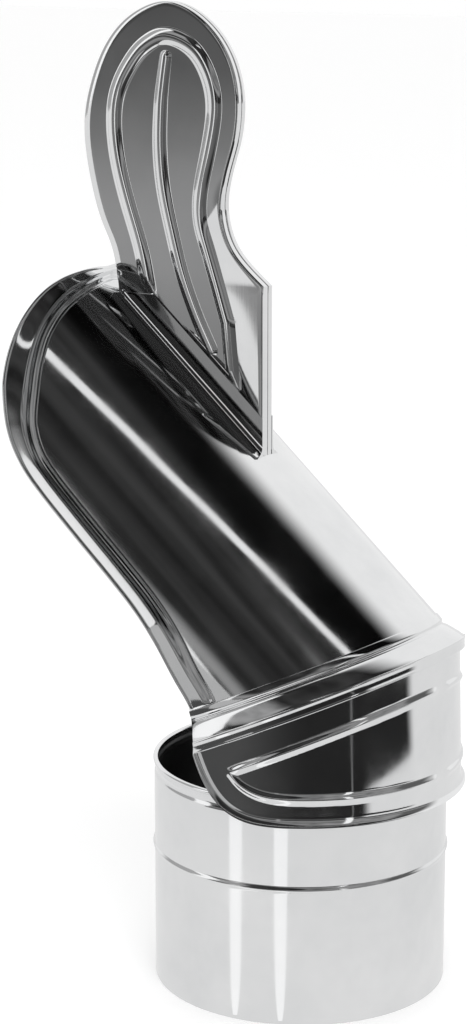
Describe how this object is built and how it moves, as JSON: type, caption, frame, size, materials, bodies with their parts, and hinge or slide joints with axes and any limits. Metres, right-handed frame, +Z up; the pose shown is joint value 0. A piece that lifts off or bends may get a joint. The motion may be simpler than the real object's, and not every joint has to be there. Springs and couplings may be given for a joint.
{
  "type": "rotary chimney cowl",
  "caption": "Wind-turned chimney cowl: a slanted, open-mouthed metal hood with a tall vane turns on a bearing over a round base pipe and keeps rain and gusts out of the flue.",
  "frame": {"origin": "centre of the base pipe's lower edge, on the axis that the hood turns about", "axes": "+Z up along the flue; at rest the hood's mouth faces -X, its ridge falls towards +X and the vane lies in the XZ plane, which is the mirror plane; the picture's near side is -Y"},
  "size_m": [0.2151, 0.1688, 0.4948],
  "materials": {
    "polished_stainless": "mirror-polished stainless steel sheet",
    "plain_stainless": "satin",
    "bush_bronze": "machined, satin"
  },
  "bodies": {
    "base": {"base_pipe": "polished_stainless", "base_low_bridge": "plain_stainless", "base_up_bridge": "plain_stainless", "spindle": "plain_stainless", "low_nut_under": "plain_stainless", "low_nut_over": "plain_stainless", "low_washer": "plain_stainless", "up_nut_under": "plain_stainless", "up_nut_over": "plain_stainless", "up_washer": "plain_stainless"},
    "hood": {"hood_shell": "polished_stainless", "collar": "polished_stainless", "skirt": "polished_stainless", "vane_near": "polished_stainless", "vane_far": "polished_stainless", "foot_near": "polished_stainless", "foot_far": "polished_stainless", "hood_low_bridge": "plain_stainless", "hood_up_bridge": "plain_stainless", "bearing_tube": "plain_stainless", "low_bush": "bush_bronze", "up_bush": "bush_bronze", "bearing_cap": "plain_stainless", "thrust_ball": "plain_stainless"}
  },
  "joints": [
    {"name": "hood_turn", "type": "hinge", "parent": "base", "child": "hood", "pos_m": [0, 0, 0.168], "axis": [0, 0, 1], "continuous": true}
  ]
}
